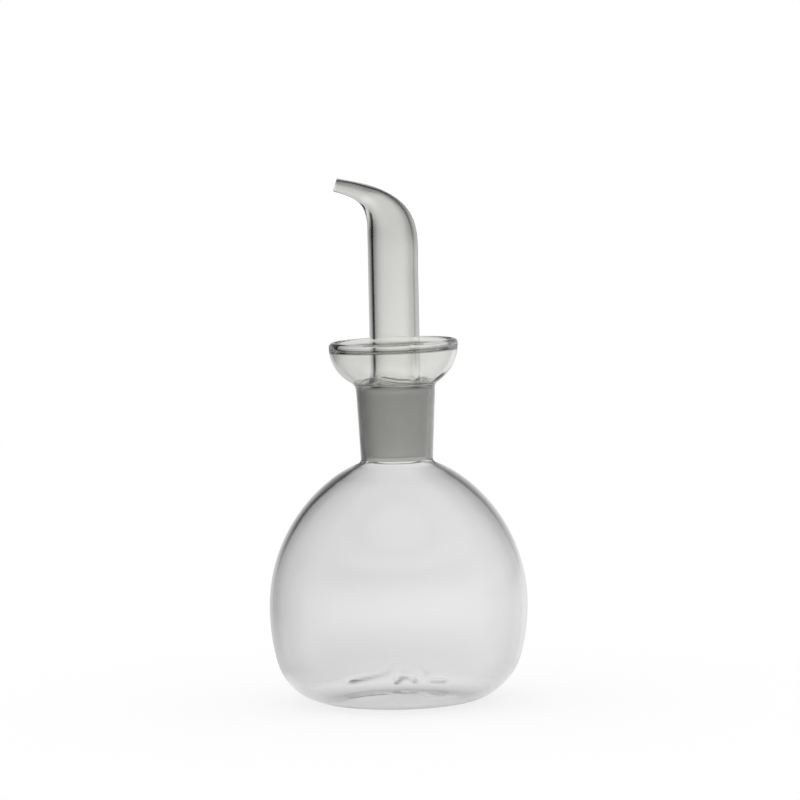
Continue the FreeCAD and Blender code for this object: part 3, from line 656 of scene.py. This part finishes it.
# The studio: soft light from all round, white to the camera. Only the glass sees the round cloth screen: pale
# at its foot, falling off into the dark room above, with soft dark cards. Sizes are in metres; shades go by
# height in mm and by direction in degrees, clockwise from straight behind the cruet.
DEGREE = math.pi / 180
SCREEN_RADIUS = 0.8
SCREEN_FOOT, SCREEN_TOP = -1.0, 1.4
SCREEN_SIDES = 96
SCREEN_RISE = ((-1000, 0.95), (-100, 0.92), (20, 0.99), (60, 0.97), (110, 0.89), (180, 0.75), (235, 0.53),
               (290, 0.4), (400, 0.29), (600, 0.13), (900, 0.03), (1400, 0.03))
SCREEN_ROUND = ((-180, 1.25), (-130, 1.1), (-95, 0.7), (-30, 0.65), (-12, 0.7), (-4, 0.83), (2, 0.9),
                (10, 0.89), (18, 0.94), (95, 0.9), (130, 1.1), (180, 1.25))
LEFT = ((-180, 0), (-95, 0), (-80, 0.9), (-60, 1), (-50, 1), (-41, 1), (-33, 0.4), (-25, 0), (180, 0))
LEFT_RISE = ((-1000, 0), (-200, 0), (-80, 0.8), (-20, 1), (400, 1), (900, 1), (1400, 0.5))
HIGH_LEFT = ((-180, 0), (-60, 0), (-40, 0.7), (-30, 0.85), (-22, 0.8), (-13, 0.3), (-4, 0), (180, 0))
HIGH_LEFT_RISE = ((-1000, 0), (-60, 0), (60, 0.2), (150, 0.6), (240, 0.95), (320, 1), (900, 1), (1400, 0.5))
HIGH_RIGHT = ((-180, 0), (4, 0), (16, 0.3), (38, 0.42), (46, 0.68), (54, 0.68), (80, 0), (180, 0))
HIGH_RIGHT_RISE = ((-1000, 0), (-60, 0), (30, 0.2), (100, 1), (900, 1), (1400, 0.5))
LOW = ((-180, 0), (5, 0), (14, 0.5), (24, 0.5), (34, 0), (180, 0))
LOW_RISE = ((-1000, 0), (-425, 0), (-290, 1), (-145, 0), (1400, 0))
NEAR = ((-180, 1), (-115, 1), (-95, 0), (95, 0), (115, 1), (180, 1))
NEAR_RISE = ((-1000, 0.3), (-430, 0.7), (-200, 0.8), (-60, 0), (1400, 0))
CARDS = ((LEFT, LEFT_RISE), (HIGH_LEFT, HIGH_LEFT_RISE), (HIGH_RIGHT, HIGH_RIGHT_RISE), (LOW, LOW_RISE),
         (NEAR, NEAR_RISE))
ROOM = ((-90, 0.9), (-30, 0.9), (20, 0.1), (90, 0.1))

screen_turn = np.arange(SCREEN_SIDES + 1) * (2 * math.pi / SCREEN_SIDES)
screen_ring = np.stack([np.sin(screen_turn), np.cos(screen_turn)], axis=-1) * SCREEN_RADIUS
screen_grid = np.stack([np.column_stack([screen_ring, np.full(len(screen_ring), edge)])
                        for edge in (SCREEN_FOOT, SCREEN_TOP)])
low_edge, high_edge = np.arange(2 * len(screen_ring)).reshape(2, -1)
screen_faces = np.stack([low_edge[:-1], low_edge[1:], high_edge[1:], high_edge[:-1]], axis=-1)
screen = plain_piece("screen", screen_grid, screen_faces.tolist())
cloth = bare_material(screen, "screen_cloth")
cloth.cycles.emission_sampling = "NONE"
tree = cloth.node_tree
spot = tree.nodes.new("ShaderNodeTexCoord")
parts = tree.nodes.new("ShaderNodeSeparateXYZ")
tree.links.new(spot.outputs["Object"], parts.inputs["Vector"])
up = parts.outputs["Z"]
around = reckon(tree, "ARCTAN2", parts.outputs["X"], parts.outputs["Y"])
light = reckon(tree, "MULTIPLY", shades(tree, up, SCREEN_RISE, MM),
               shades(tree, around, SCREEN_ROUND, DEGREE))
for sides, rises in CARDS:
    dark = reckon(tree, "MULTIPLY", shades(tree, around, sides, DEGREE), shades(tree, up, rises, MM))
    light = reckon(tree, "MULTIPLY", light, reckon(tree, "SUBTRACT", 1.0, dark))
glow = tree.nodes.new("ShaderNodeEmission")
tree.links.new(light, glow.inputs["Strength"])
clear = tree.nodes.new("ShaderNodeBsdfTransparent")
output = tree.nodes.new("ShaderNodeOutputMaterial")
tree.links.new(blend(tree, seen_by_glass(tree), clear.outputs["BSDF"], glow.outputs["Emission"]),
               output.inputs["Surface"])

world = bpy.data.worlds.new("studio")
bpy.context.scene.world = world
world.use_nodes = True
world.cycles.sampling_method = "NONE"
tree = world.node_tree
tree.nodes.clear()
way = tree.nodes.new("ShaderNodeTexCoord")
parts = tree.nodes.new("ShaderNodeSeparateXYZ")
tree.links.new(way.outputs["Generated"], parts.inputs["Vector"])
room = shades(tree, reckon(tree, "ARCSINE", parts.outputs["Z"]), ROOM, DEGREE)
in_glass = seen_by_glass(tree)
strength = reckon(tree, "ADD", reckon(tree, "MULTIPLY", room, in_glass),
                  reckon(tree, "SUBTRACT", 1.0, in_glass))
background = tree.nodes.new("ShaderNodeBackground")
background.inputs["Color"].default_value = (1.0, 1.0, 1.0, 1.0)
tree.links.new(strength, background.inputs["Strength"])
output = tree.nodes.new("ShaderNodeOutputWorld")
tree.links.new(background.outputs["Background"], output.inputs["Surface"])

# The camera: a long lens about two metres away, a little above the cruet, looking down on it and turned a
# little about its own axis.
CAMERA_PLACE = Vector((0.00176, -2.0, 0.2834))
CAMERA_AIM = Vector((0.00176, 0.0, 0.12591))
CAMERA_ROLL = 0.020
CAMERA_LENS = 216.7
CAMERA_SENSOR = 36.0
CAMERA_FAR = 20.0
BOUNCES = 32
MIRROR_BOUNCES = 16
camera_data = bpy.data.cameras.new("camera")
camera_data.lens = CAMERA_LENS
camera_data.sensor_width = CAMERA_SENSOR
camera_data.clip_end = CAMERA_FAR
camera = bpy.data.objects.new("camera", camera_data)
bpy.context.collection.objects.link(camera)
camera.location = CAMERA_PLACE
level = (CAMERA_AIM - CAMERA_PLACE).to_track_quat("-Z", "Y").to_matrix()
camera.rotation_euler = (level @ Matrix.Rotation(-CAMERA_ROLL, 3, "Z")).to_euler()
scene = bpy.context.scene
scene.camera = camera
scene.view_settings.view_transform = "Standard"
scene.cycles.max_bounces = BOUNCES
scene.cycles.transmission_bounces = BOUNCES
scene.cycles.glossy_bounces = MIRROR_BOUNCES
